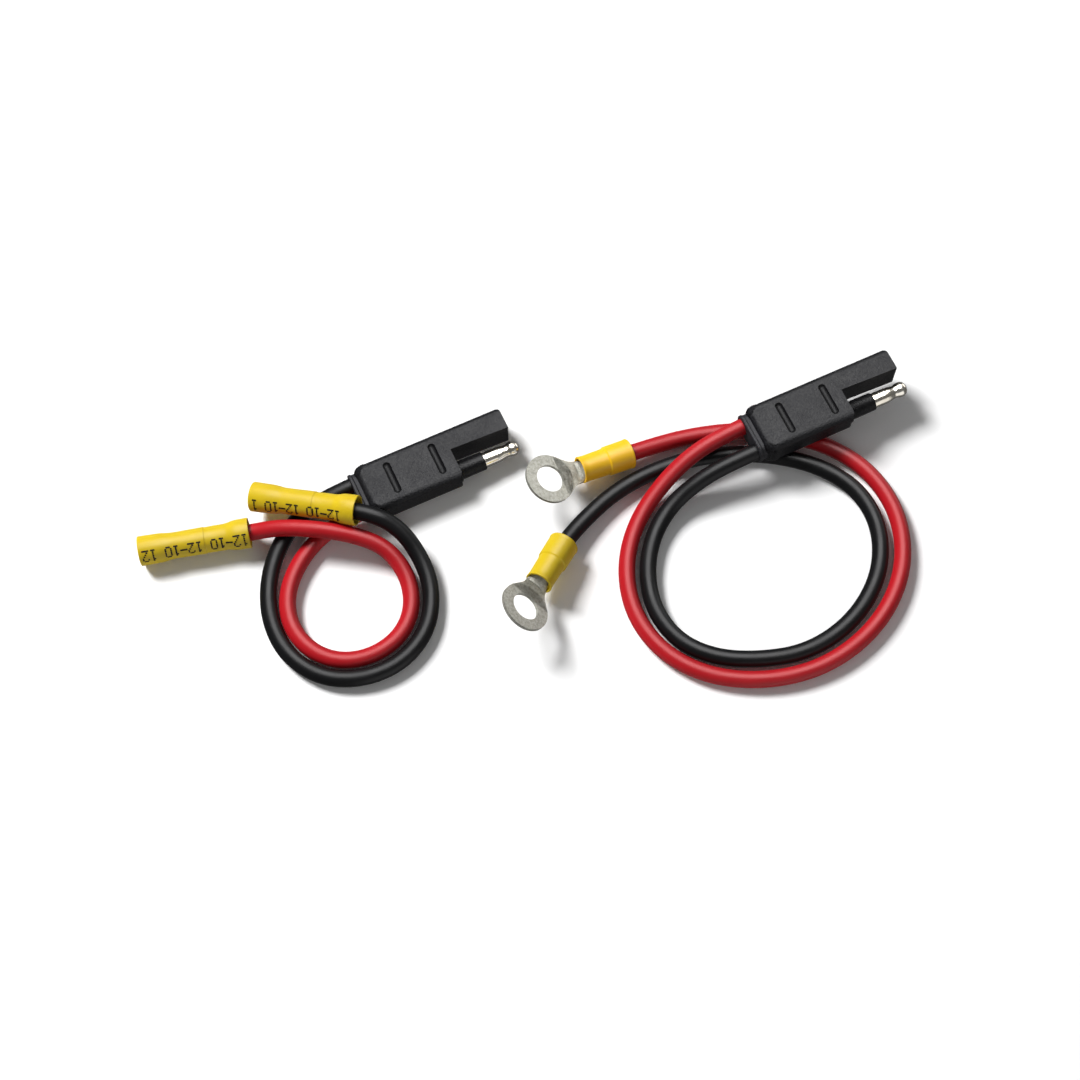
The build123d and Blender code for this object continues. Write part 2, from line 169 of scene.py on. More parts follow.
# nickel plate over turned brass: bright skin with a slightly soft reflection, a warm tint where it is thin,
# faint dents; the turning marks are drawn coarser than the tool leaves them
def nickelPlate(name, thin, full):
    material, tree, coords = startMaterial(name)
    stretched = addNode(tree, "ShaderNodeMapping", {"Scale": (8.0, 1.0, 1.0)}, {"Vector": coords})
    lines = addNode(tree, "ShaderNodeTexNoise", {"Scale": perMm(2.4), "Detail": 2.0},
                    {"Vector": stretched.outputs["Vector"]})
    cloud = addNode(tree, "ShaderNodeTexNoise", {"Scale": perMm(3.0), "Detail": 2.0}, {"Vector": coords})
    dents = addNode(tree, "ShaderNodeTexNoise", {"Scale": perMm(1.8), "Detail": 1.0}, {"Vector": coords})
    colour = addNode(tree, "ShaderNodeMix", {mixFrom: hexColour(thin), mixTo: hexColour(full)},
                     {0: cloud.outputs["Fac"]}, data_type="RGBA")
    dull = addNode(tree, "ShaderNodeMapRange",
                   {"From Min": 0.3, "From Max": 0.7, "To Min": 0.14, "To Max": 0.26},
                   {"Value": lines.outputs["Fac"]})
    bump = addNode(tree, "ShaderNodeBump", {"Distance": 0.02 * mm}, {"Height": dents.outputs["Fac"]})
    finishMaterial(tree, {"Metallic": 1.0}, {
        "Base Color": colour.outputs[mixResult], "Roughness": dull.outputs["Result"],
        "Normal": bump.outputs["Normal"]})
    return material


# electro-tinned copper, stamped: dull light grey, mottled, brighter where it rubbed; real pits are finer and
# are drawn coarser so that they show
def tinPlate(name, dark, light):
    material, tree, coords = startMaterial(name)
    mottle = addNode(tree, "ShaderNodeTexNoise", {"Scale": perMm(0.8), "Detail": 4.0, "Roughness": 0.65},
                     {"Vector": coords})
    pits = addNode(tree, "ShaderNodeTexNoise", {"Scale": perMm(0.45), "Detail": 3.0}, {"Vector": coords})
    spots = addNode(tree, "ShaderNodeMapRange", {"From Min": 0.38, "From Max": 0.62},
                    {"Value": mottle.outputs["Fac"]})
    colour = addNode(tree, "ShaderNodeMix", {mixFrom: hexColour(dark), mixTo: hexColour(light)},
                     {0: spots.outputs["Result"]}, data_type="RGBA")
    dull = addNode(tree, "ShaderNodeMapRange",
                   {"From Min": 0.3, "From Max": 0.7, "To Min": 0.46, "To Max": 0.6},
                   {"Value": mottle.outputs["Fac"]})
    bump = addNode(tree, "ShaderNodeBump", {"Distance": 0.06 * mm}, {"Height": pits.outputs["Fac"]})
    finishMaterial(tree, {"Metallic": 0.6}, {
        "Base Color": colour.outputs[mixResult], "Roughness": dull.outputs["Result"],
        "Normal": bump.outputs["Normal"]})
    return material


# bare copper strands: warm metal with slanting grooves about 0.9 mm apart, coarser than real strands so that
# they show; the darker groove colour is painted shade between the strands
def strandedCopper(name, grooveShade, crown):
    material, tree, coords = startMaterial(name)
    strands = addNode(tree, "ShaderNodeTexWave", {"Scale": perMm(0.4) / 6.3, "Distortion": 0.5},
                      {"Vector": coords}, bands_direction="DIAGONAL")
    colour = addNode(tree, "ShaderNodeMix", {mixFrom: hexColour(grooveShade), mixTo: hexColour(crown)},
                     {0: strands.outputs["Fac"]}, data_type="RGBA")
    bump = addNode(tree, "ShaderNodeBump", {"Distance": 0.06 * mm}, {"Height": strands.outputs["Fac"]})
    finishMaterial(tree, {"Metallic": 1.0, "Roughness": 0.35}, {
        "Base Color": colour.outputs[mixResult], "Normal": bump.outputs["Normal"]})
    return material


# ink jet marking: matt black, a little uneven where the jet laid less
def markingInk(name, dark, light):
    material, tree, coords = startMaterial(name)
    uneven = addNode(tree, "ShaderNodeTexNoise", {"Scale": perMm(0.5), "Detail": 2.0}, {"Vector": coords})
    colour = addNode(tree, "ShaderNodeMix", {mixFrom: hexColour(dark), mixTo: hexColour(light)},
                     {0: uneven.outputs["Fac"]}, data_type="RGBA")
    finishMaterial(tree, {"IOR": 1.5, "Roughness": 0.6, "Specular IOR Level": 0.3}, {
        "Base Color": colour.outputs[mixResult]})
    return material


housingPvc = mouldedPvc("moulded PVC, black", "#0a0a0c", "#1c1c1f", 0.3, 0.62)
# the walls of the finger slots and the socket mouth: a darker black than the housing, painted shade in the
# recesses
recessShadePvc = mouldedPvc("PVC, black, painted recess shade", "#08080a", "#0d0d0f", 0.42, 0.5)
collarPvc = mouldedPvc("smooth moulded PVC, black", "#0b0b0c", "#151517", 0.26, 0.36)
# the carrier: a lighter grey than the housing's black, painted light for the lit edge of the flange
carrierLitGreyPvc = mouldedPvc("moulded PVC, grey lightened as painted edge light", "#1c1c1e", "#2f2f33", 0.45, 0.6)
blackWire = wirePvc("extruded PVC, black", "#09090a", "#0e0e10", 0.36, 0.44, 0.22)
redWire = wirePvc("extruded PVC, red", "#a0121b", "#ac151e", 0.36, 0.44, 0.24)
lemonVinyl = sleeveVinyl("vinyl, lemon yellow", "#c1a514", "#c9ae1b", 0.34, 0.44)
orangeVinyl = sleeveVinyl("vinyl, orange yellow", "#e4b014", "#ecbc1c", 0.34, 0.44)
nickel = nickelPlate("nickel plate on brass", "#d2c8b4", "#eeebe4")
tin = tinPlate("tin plate on copper", "#908f86", "#aeada4")
copper = strandedCopper("stranded copper", "#8c4a2b", "#e0a37c")
ink = markingInk("marking ink", "#0e0d0a", "#1e1a10")
print("materials made")


# leads, in metres: routes run from the seat in the carrier to the end of the covering inside the terminal
leads = {"diameter": 4.9 * mm, "bevelSteps": 9, "spanSteps": 14}
routes = {
    "black_splice_lead": [
        (-0.07605, 0.0209, 0.0045), (-0.0835, 0.0209, 0.0045), (-0.0954, 0.0204, 0.0025),
        (-0.1054, 0.0142, 0.00245), (-0.1132, 0.0046, 0.00245), (-0.1174, -0.007, 0.00245),
        (-0.1168, -0.019, 0.00245), (-0.1104, -0.0292, 0.00245), (-0.0998, -0.0344, 0.00245),
        (-0.088, -0.0344, 0.00245), (-0.0776, -0.0286, 0.00245), (-0.0716, -0.0184, 0.00245),
        (-0.0705, -0.0082, 0.0042), (-0.073, 0.0014, 0.0086), (-0.0795, 0.0079, 0.0124),
        (-0.0872, 0.0137, 0.0109)],
    "red_splice_lead": [
        (-0.07605, 0.0121, 0.0045), (-0.0835, 0.0121, 0.0045), (-0.0948, 0.0109, 0.0025),
        (-0.1038, 0.0054, 0.00245), (-0.1102, -0.002, 0.00245), (-0.1127, -0.0112, 0.00245),
        (-0.1103, -0.0204, 0.00245), (-0.1038, -0.027, 0.00245), (-0.0946, -0.0293, 0.00245),
        (-0.0852, -0.0271, 0.00245), (-0.0785, -0.0204, 0.00245), (-0.0761, -0.011, 0.0033),
        (-0.0784, -0.0018, 0.006), (-0.0856, 0.005, 0.0082), (-0.095, 0.0112, 0.0085),
        (-0.1042, 0.0164, 0.0076), (-0.1122, 0.0196, 0.0049), (-0.1186, 0.0213, 0.0048)],
    "red_ring_lead": [
        (0.03445, -0.0121, 0.0096), (0.0269, -0.0121, 0.0096), (0.0144, -0.013, 0.0082),
        (0.0022, -0.0168, 0.0049), (-0.0096, -0.0238, 0.00245), (-0.0186, -0.035, 0.00245),
        (-0.0226, -0.049, 0.00245), (-0.0202, -0.0628, 0.00245), (-0.0118, -0.0744, 0.00245),
        (0.0012, -0.0822, 0.00245), (0.0158, -0.0858, 0.00245), (0.0306, -0.0844, 0.00245),
        (0.0446, -0.0782, 0.00245), (0.0554, -0.0676, 0.00245), (0.061, -0.0538, 0.00245),
        (0.0604, -0.0394, 0.00245), (0.0542, -0.027, 0.00245), (0.0438, -0.0172, 0.00245),
        (0.0318, -0.0102, 0.00245), (0.0184, -0.0058, 0.00245), (0.0048, -0.0041, 0.0037),
        (-0.0084, -0.0038, 0.0055)],
    "black_ring_lead": [
        (0.03445, -0.0209, 0.0096), (0.0269, -0.0209, 0.0096), (0.0142, -0.0208, 0.0074),
        (0.0026, -0.023, 0.0035), (-0.0068, -0.0294, 0.00245), (-0.0136, -0.039, 0.00245),
        (-0.0168, -0.0504, 0.00245), (-0.0146, -0.0618, 0.00245), (-0.0072, -0.0706, 0.00245),
        (0.0038, -0.0764, 0.00245), (0.0158, -0.0798, 0.00245), (0.028, -0.0788, 0.00245),
        (0.0394, -0.074, 0.00245), (0.0488, -0.0656, 0.00245), (0.0542, -0.0544, 0.00245),
        (0.0542, -0.0422, 0.00245), (0.0486, -0.0318, 0.00245), (0.0394, -0.0232, 0.00245),
        (0.0276, -0.0164, 0.00245), (0.0148, -0.0122, 0.00245), (0.0012, -0.011, 0.00245),
        (-0.0116, -0.0126, 0.0025), (-0.0226, -0.0168, 0.0032), (-0.0308, -0.021, 0.0043),
        (-0.0366, -0.0254, 0.0061)],
}


def makeLead(name, material):
    curve = bpy.data.curves.new(name, "CURVE")
    curve.dimensions = "3D"
    curve.bevel_depth = leads["diameter"] / 2
    curve.bevel_resolution = leads["bevelSteps"]
    curve.resolution_u = leads["spanSteps"]
    curve.use_fill_caps = True
    spline = curve.splines.new("NURBS")
    spline.points.add(len(routes[name]) - 1)
    for point, place in zip(spline.points, routes[name]):
        point.co = (*place, 1.0)
    spline.order_u = 3
    spline.use_endpoint_u = True
    curve.materials.append(material)
    piece = bpy.data.objects.new(name + "_covering", curve)
    bpy.context.scene.collection.objects.link(piece)
    return piece


leadPieces = {name: makeLead(name, redWire if name.startswith("red") else blackWire) for name in routes}
print("leads laid")


# shared modelling steps; sizes in the settings are millimetres
samePlace = 0.001 * mm  # points this near are taken as one
seamGap = 0.002 * mm  # the same for the seam of a spun outline
quarterTurn = math.radians(90)


def outlineMesh(points, closed=False):
    shape = bmesh.new()
    corners = [shape.verts.new((x * mm, 0, r * mm)) for x, r in points]
    following = corners[1:] + corners[:1] if closed else corners[1:]
    for a, b in zip(corners, following):
        shape.edges.new((a, b))
    return shape


def spinAboutX(points, steps, closed=False):
    shape = outlineMesh(points, closed)
    bmesh.ops.spin(shape, geom=shape.verts[:] + shape.edges[:], cent=(0, 0, 0), axis=(1, 0, 0),
                   angle=2 * math.pi, steps=steps, use_merge=True)
    bmesh.ops.remove_doubles(shape, verts=shape.verts, dist=seamGap)
    bmesh.ops.recalc_face_normals(shape, faces=shape.faces)
    return shape


def roundEdges(shape, edges, offset, segments=3, clamp=True):
    bmesh.ops.bevel(shape, geom=edges, offset=offset * mm, offset_type="OFFSET", affect="EDGES",
                    segments=segments, profile=0.5, material=-1, clamp_overlap=clamp)


def roundRings(shape, rings, segments=4):
    for x, radius, offset in rings:
        def onRing(vert):
            across = math.hypot(vert.co.y, vert.co.z)
            return abs(vert.co.x - x * mm) < samePlace and abs(across - radius * mm) < samePlace
        edges = [e for e in shape.edges if onRing(e.verts[0]) and onRing(e.verts[1])]
        roundEdges(shape, edges, offset, segments)


# flat plan of corners, raised to a block of this height about its middle
def raisePlan(plan, height):
    shape = bmesh.new()
    floor = shape.faces.new([shape.verts.new((x * mm, y * mm, -height / 2 * mm)) for x, y in plan])
    raised = bmesh.ops.extrude_face_region(shape, geom=[floor])["geom"]
    verts = [v for v in raised if isinstance(v, bmesh.types.BMVert)]
    bmesh.ops.translate(shape, vec=(0, 0, height * mm), verts=verts)
    return shape


def makeRod(radius, length, sides):
    shape = bmesh.new()
    bmesh.ops.create_cone(shape, cap_ends=True, segments=sides, radius1=radius * mm, radius2=radius * mm,
                          depth=length * mm)
    return shape


def makePiece(name, shape, materials, place=Matrix(), creaseAngle=38):
    bmesh.ops.remove_doubles(shape, verts=shape.verts, dist=samePlace)
    bmesh.ops.recalc_face_normals(shape, faces=shape.faces)
    bmesh.ops.transform(shape, matrix=place, verts=shape.verts)
    mesh = bpy.data.meshes.new(name)
    shape.to_mesh(mesh)
    shape.free()
    for material in materials:
        mesh.materials.append(material)
    mesh.shade_smooth()
    mesh.set_sharp_from_angle(angle=math.radians(creaseAngle))
    piece = bpy.data.objects.new(name, mesh)
    bpy.context.scene.collection.objects.link(piece)
    return piece


def applyModifiers(piece):
    depsgraph = bpy.context.evaluated_depsgraph_get()
    finished = bpy.data.meshes.new_from_object(piece.evaluated_get(depsgraph))
    piece.modifiers.clear()
    piece.data = finished


def combine(piece, others, operation):
    for other in others:
        modifier = piece.modifiers.new("combine", "BOOLEAN")
        modifier.object = other
        modifier.operation = operation
        modifier.solver = "EXACT"
    applyModifiers(piece)
    for other in others:
        bpy.data.objects.remove(other)


# rounds what is still sharp; flatFrom is the area from which a face is a true flat and shades as one
def softenEdges(piece, width, flatFrom, angle=35, segments=2):
    bevel = piece.modifiers.new("soft edges", "BEVEL")
    bevel.width = width * mm
    bevel.segments = segments
    bevel.limit_method = "ANGLE"
    bevel.angle_limit = math.radians(angle)
    weighted = piece.modifiers.new("even shading", "WEIGHTED_NORMAL")
    weighted.keep_sharp = True
    applyModifiers(piece)
    directions = [corner.vector.copy() for corner in piece.data.corner_normals]
    for face in piece.data.polygons:
        if face.area > flatFrom * mm * mm:
            face.use_smooth = False
            for corner in face.loop_indices:
                directions[corner] = face.normal.copy()
    piece.data.normals_split_custom_set(directions)


# housing: body, shroud over the socket and the finger slots, in a half's own frame
housing = {
    "bodyLength": 28.4, "width": 16.0, "height": 9.0,
    "shroudLength": 18.2, "shroudRoot": 6.9, "shroudMouth": 7.5,
    "rearRound": 2.9, "frontRound": 1.4, "longRound": 1.9, "edgeRound": 0.22, "flatFrom": 25.0,
    "slotLength": 10.7, "slotRadius": 1.25, "slotDepth": 0.7, "slotSetbacks": (4.8, 19.0),
    "slotEndRound": 0.96,  # share of the slot's radius
    "mouthRadius": 2.95, "mouthDepth": 8.15, "poleOffset": 4.4, "cutterSpare": 1.0,
    "behindFront": 0.01, "besideEdge": 0.1,  # where the rim's edges are looked for
    "rearSteps": 8, "longSteps": 7, "slotSteps": 8, "slotSides": 40, "mouthSides": 64, "cornerSides": 48,
}


def bodyShape():
    h = housing
    side, top = h["width"] / 2, h["height"] / 2
    shape = raisePlan([
        (-h["bodyLength"], -side), (0, -side), (0, side - h["shroudRoot"]),
        (h["shroudLength"], side - h["shroudMouth"]), (h["shroudLength"], side), (-h["bodyLength"], side),
    ], h["height"])
    bmesh.ops.recalc_face_normals(shape, faces=shape.faces)

    def uprightAt(x, y):
        return [e for e in shape.edges if all(
            abs(v.co.x - x * mm) < samePlace and abs(v.co.y - y * mm) < samePlace for v in e.verts)]
    rear = uprightAt(-h["bodyLength"], side) + uprightAt(-h["bodyLength"], -side)
    roundEdges(shape, rear, h["rearRound"], h["rearSteps"])
    rim = []
    for edge in shape.edges:
        middle = (edge.verts[0].co + edge.verts[1].co) / 2
        level = all(abs(abs(v.co.z) - top * mm) < samePlace for v in edge.verts)
        if level and (middle.x < -h["behindFront"] * mm or middle.y > (side - h["besideEdge"]) * mm):
            rim.append(edge)
    roundEdges(shape, rim, h["longRound"], h["longSteps"], clamp=False)
    return shape


# cuts the body's front corner round, beside the pin
def cornerCutter():
    h = housing
    radius, side, spare = h["frontRound"], h["width"] / 2, h["cutterSpare"]
    block = bmesh.new()
    bmesh.ops.create_cube(block, size=1.0)
    width = (radius + spare) * mm
    bmesh.ops.scale(block, vec=(width, width, 2 * h["height"] * mm), verts=block.verts)
    centre = Vector(((spare / 2 - radius / 2) * mm, -(side + spare / 2 - radius / 2) * mm, 0))
    bmesh.ops.translate(block, vec=centre, verts=block.verts)
    post = makeRod(radius, 3 * h["height"], h["cornerSides"])
    inside = Matrix.Translation((-radius * mm, (radius - side) * mm, 0))
    corner = makePiece("cornerCutter", block, [housingPvc])
    quarter = makePiece("cornerRound", post, [housingPvc], inside)
    combine(corner, [quarter], "DIFFERENCE")
    return corner


def slotCutter(x, level):
    h = housing
    cutter = makeRod(h["slotRadius"], h["slotLength"], h["slotSides"])
    ends = [e for e in cutter.edges if abs(e.verts[0].co.z - e.verts[1].co.z) < samePlace]
    roundEdges(cutter, ends, h["slotRadius"] * h["slotEndRound"], h["slotSteps"])
    place = Matrix.Translation((x * mm, 0, level * mm)) @ Matrix.Rotation(quarterTurn, 4, "X")
    return makePiece("slotCutter", cutter, [recessShadePvc], place)


def makeHousing(half, place):
    h = housing
    piece = makePiece(half + "_housing_shell", bodyShape(), [housingPvc, recessShadePvc])
    level = h["height"] / 2 - h["slotDepth"] + h["slotRadius"]
    cutters = [slotCutter(-x, side * level) for x in h["slotSetbacks"] for side in (1, -1)]
    mouth = makeRod(h["mouthRadius"], 2 * h["mouthDepth"], h["mouthSides"])
    front = Matrix.Translation((h["shroudLength"] * mm, h["poleOffset"] * mm, 0))
    cutters.append(makePiece("mouthCutter", mouth, [recessShadePvc], front @ Matrix.Rotation(quarterTurn, 4, "Y")))
    cutters.append(cornerCutter())
    combine(piece, cutters, "DIFFERENCE")
    softenEdges(piece, h["edgeRound"], h["flatFrom"])
    piece.data.transform(place)
    return piece


# collar: tapered sleeve round the pin's root, with a small foot where it meets the body
collar = {
    "length": 8.0, "rootRadius": 2.8, "tipRadius": 2.7, "foot": 0.55, "rim": 0.22,
    "buried": 1.0, "footStart": 0.02, "footBend": 0.18, "spinSteps": 64,
}


def makeCollar(half, place):
    c = collar
    footRadius = c["rootRadius"] + c["foot"]
    shape = spinAboutX([
        (-c["buried"], 0), (-c["buried"], footRadius), (c["footStart"], footRadius),
        (c["footBend"], c["rootRadius"] + c["footBend"]), (c["foot"], c["rootRadius"]),
        (c["length"], c["tipRadius"]), (c["length"], 0)], c["spinSteps"])
    roundRings(shape, [(c["length"], c["tipRadius"], c["rim"])])
    return makePiece(half + "_pin_collar", shape, [collarPvc], place)


# carrier: the core in the housing, which comes out behind it as a neck, and the flange that closes the back
carrier = {
    "coreStart": -29.4, "coreEnd": -4.0, "coreWidth": 14.4, "coreHeight": 6.6, "coreRound": 2.6,
    "flangeStart": -30.4, "flangeThickness": 1.0, "flangeWidth": 14.8, "flangeHeight": 7.6,
    "flangeRound": 3.0, "edgeRound": 0.2, "flatFrom": 25.0, "roundSteps": 8,
}


def roundedBar(shape, start, length, width, height, corner):
    made = bmesh.ops.create_cube(shape, size=1.0)["verts"]
    bmesh.ops.scale(shape, vec=(length * mm, width * mm, height * mm), verts=made)
    bmesh.ops.translate(shape, vec=((start + length / 2) * mm, 0, 0), verts=made)
    along = [e for e in shape.edges if all(v in made for v in e.verts)
             and abs(e.verts[0].co.x - e.verts[1].co.x) > 0.5 * length * mm]
    roundEdges(shape, along, corner, carrier["roundSteps"])


def makeCarrier(half, place):
    c = carrier
    shape = bmesh.new()
    coreLength = c["coreEnd"] - c["coreStart"]
    roundedBar(shape, c["coreStart"], coreLength, c["coreWidth"], c["coreHeight"], c["coreRound"])
    roundedBar(shape, c["flangeStart"], c["flangeThickness"], c["flangeWidth"], c["flangeHeight"],
               c["flangeRound"])
    piece = makePiece(half + "_carrier_flange", shape, [carrierLitGreyPvc])
    softenEdges(piece, c["edgeRound"], c["flatFrom"])
    piece.data.transform(place)
    return piece


# pin: turned bullet contact with a slight waist behind its round nose
pin = {
    "outline": [
        (7.0, 0), (7.0, 2.285), (12.8, 2.285), (14.9, 1.86), (15.5, 1.86), (16.7, 2.285), (19.2, 2.285),
        (19.2, 0)],
    "rounds": [
        (12.8, 2.285, 1.2), (14.9, 1.86, 0.25), (15.5, 1.86, 0.25), (16.7, 2.285, 0.5), (19.2, 2.285, 2.0)],
    "spinSteps": 72, "roundSteps": 8, "creaseAngle": 60,
}


def makePin(half, place):
    shape = spinAboutX(pin["outline"], pin["spinSteps"])
    roundRings(shape, pin["rounds"], pin["roundSteps"])
    return makePiece(half + "_bullet", shape, [nickel], place, pin["creaseAngle"])


halfPlaces = {}
for half in ("splice_half", "ring_half"):
    low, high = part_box(half + "_housing")
    halfPlaces[half] = Matrix.Translation((
        high[0] - housing["shroudLength"] * mm, (low[1] + high[1]) / 2, (low[2] + high[2]) / 2))
pinSide = Matrix.Translation((0, -housing["poleOffset"] * mm, 0))
for half, place in halfPlaces.items():
    housingPiece = makeHousing(half, place)
    collarPiece = makeCollar(half, place @ pinSide)
    carrierPiece = makeCarrier(half, place)
    pinPiece = makePin(half, place @ pinSide)
    for piece, node, slot in (
            (housingPiece, "housing", "housing_plastic"), (collarPiece, "housing", "housing_plastic"),
            (carrierPiece, "carrier", "carrier_plastic"), (pinPiece, "pin", "nickel_brass")):
        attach(piece, half)
        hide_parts(f"{half}_{node}")
print("halves moulded")


# terminals sit on the last run of their route: x away from the lead, z upward
def terminalPlace(name, roll=0.0):
    end, before = Vector(routes[name][-1]), Vector(routes[name][-2])
    outward = (end - before).normalized()
    across = Vector((0, 0, 1)).cross(outward).normalized()
    upward = outward.cross(across)
    turn = Matrix((outward, across, upward)).transposed().to_4x4()
    return Matrix.Translation(end) @ turn @ Matrix.Rotation(math.radians(roll), 4, "X")


# butt splice sleeve: belled at both ends, waisted, with a moulded step line past the crimp
spliceSleeve = {
    "outline": [
        (-6.5, 4.45), (-2.2, 4.38), (0.0, 3.84), (6.3, 3.77), (6.5, 3.92), (16.0, 3.82), (19.2, 4.26),
        (25.5, 4.35), (25.5, 3.75), (21.6, 3.7), (20.2, 2.55), (0.0, 2.55), (-1.4, 3.6), (-6.5, 3.85)],
    "rounds": [
        (-2.2, 4.38, 0.8), (0.0, 3.84, 0.6), (6.3, 3.77, 0.08), (6.5, 3.92, 0.12), (16.0, 3.82, 1.1),
        (19.2, 4.26, 1.1), (25.5, 4.35, 0.22), (25.5, 3.75, 0.2), (-6.5, 4.45, 0.22), (-6.5, 3.85, 0.2)],
    "crimpStart": 1.0, "crimpEnd": 6.2, "crimpBore": 3.0, "crimpWide": 1.02, "crimpTall": 0.95,
    "spinSteps": 72, "roundSteps": 5,
}


def makeSpliceSleeve(name, place):
    s = spliceSleeve
    shape = spinAboutX(s["outline"], s["spinSteps"], closed=True)
    bmesh.ops.bisect_plane(shape, geom=shape.verts[:] + shape.edges[:] + shape.faces[:],
                           plane_co=((s["crimpStart"] + s["crimpEnd"]) / 2 * mm, 0, 0), plane_no=(1, 0, 0))
    roundRings(shape, s["rounds"], s["roundSteps"])
    # the crimping tool's dent, on the outside only
    pressed = [v for v in shape.verts
               if s["crimpStart"] * mm < v.co.x < s["crimpEnd"] * mm and v.co.yz.length > s["crimpBore"] * mm]
    bmesh.ops.scale(shape, vec=(1, s["crimpWide"], s["crimpTall"]), verts=pressed)
    return makePiece(name, shape, [lemonVinyl], place)


# gauge marking on the splice sleeves, in dots as an ink jet prints it
marking = {
    "text": "12-10 12-10 12-10", "dotPitchAcross": 0.39, "dotPitchUp": 0.52, "dotRadius": 0.29,
    "textRadius": 4.0, "proud": 0.03, "dotSides": 8, "dotSpread": (0.9, 1.05),
    "middleRow": 3, "lastColumn": 4, "lastEnd": 25.3,
    # where it starts along the sleeve, the pitch of its letters, its turn about the sleeve in degrees
    "lays": {"black": (-2.5, 2.1, 59), "red": (-5.75, 2.19, 50)},
    "dots": {
        "0": (".###.", "#...#", "#...#", "#...#", "#...#", "#...#", ".###."),
        "1": ("..#..", ".##..", "..#..", "..#..", "..#..", "..#..", ".###."),
        "2": (".###.", "#...#", "....#", "...#.", "..#..", ".#...", "#####"),
        "-": (".....", ".....", ".....", "#####", ".....", ".....", "....."),
    },
}


def makeMarking(name, sleeve, place, start, pitch, turn):
    m = marking
    surface = BVHTree.FromPolygons(
        [v.co for v in sleeve.data.vertices], [f.vertices for f in sleeve.data.polygons])
    shape = bmesh.new()
    for index, letter in enumerate(m["text"]):
        left = start + index * pitch
        if left + m["lastColumn"] * m["dotPitchAcross"] > m["lastEnd"]:
            break
        for row, cells in enumerate(m["dots"].get(letter, ())):
            for column, cell in enumerate(cells):
                if cell == ".":
                    continue
                angle = math.radians(turn) + (m["middleRow"] - row) * m["dotPitchUp"] / m["textRadius"]
                spoke = place @ Matrix.Rotation(-angle, 4, "X") @ Matrix.Translation(
                    ((left + column * m["dotPitchAcross"]) * mm, 0, 2 * m["textRadius"] * mm))
                spot, facing, _, _ = surface.ray_cast(spoke.translation, -spoke.col[2].to_3d())
                facingTurn = facing.to_track_quat("Z", "Y").to_matrix().to_4x4()
                lay = Matrix.Translation(spot + facing * m["proud"] * mm) @ facingTurn
                bmesh.ops.create_circle(
                    shape, cap_ends=True, segments=m["dotSides"],
                    radius=m["dotRadius"] * random.uniform(*m["dotSpread"]) * mm, matrix=lay)
    return makePiece(name, shape, [ink])


# ring terminal sleeve: wide bell over the covering, a step, the nose over the barrel with a flared lip
ringSleeve = {
    "outline": [
        (-6.5, 4.55), (-5.9, 4.5), (-5.6, 4.42), (1.0, 4.36), (1.35, 4.0), (8.3, 3.86), (9.5, 4.08),
        (9.5, 3.5), (8.6, 3.4), (8.6, 2.65), (-1.0, 2.65), (-1.6, 3.6), (-6.5, 3.85)],
    "rounds": [
        (-6.5, 4.55, 0.25), (-5.6, 4.42, 0.2), (1.0, 4.36, 0.14), (1.35, 4.0, 0.15), (8.3, 3.86, 0.6),
        (9.5, 4.08, 0.2), (-6.5, 3.85, 0.2)],
    "spinSteps": 72, "roundSteps": 4,
}


def makeRingSleeve(name, place, material):
    shape = spinAboutX(ringSleeve["outline"], ringSleeve["spinSteps"], closed=True)
    roundRings(shape, ringSleeve["rounds"], ringSleeve["roundSteps"])
    return makePiece(name, shape, [material], place)


# ring terminal: brazed barrel, flattened shoulder, tongue bent up to a flat ring
ringTerminal = {
    "barrelRadius": 2.6, "barrelEnd": 5.6, "shoulderEnd": 11.1, "drop": 0.87, "rise": 16.0,
    "thickness": 1.0, "ringCentre": 8.9, "ringRadius": 7.5, "holeRadius": 4.2,
    # the shoulder's stations: how far out, then width and height as shares of the barrel's, then the drop
    "flats": [
        (7.0, 1.07, 0.84, -0.2), (8.2, 1.16, 0.58, -0.52), (9.3, 1.24, 0.36, -0.8),
        (10.2, 1.28, 0.24, -0.94)],
    "neck": [(-1.9, 3.3), (0.9, 3.6), (5.2, 6.6)], "neckRound": 1.2, "neckSteps": 6,
    "holeDepth": 4.0, "barrelSides": 48, "ringSides": 96, "edgeRound": 0.16, "edgeAngle": 40, "flatFrom": 8.0,
    "rolls": {"red": -6.0, "black": -25.0},  # degrees about its own lead
}


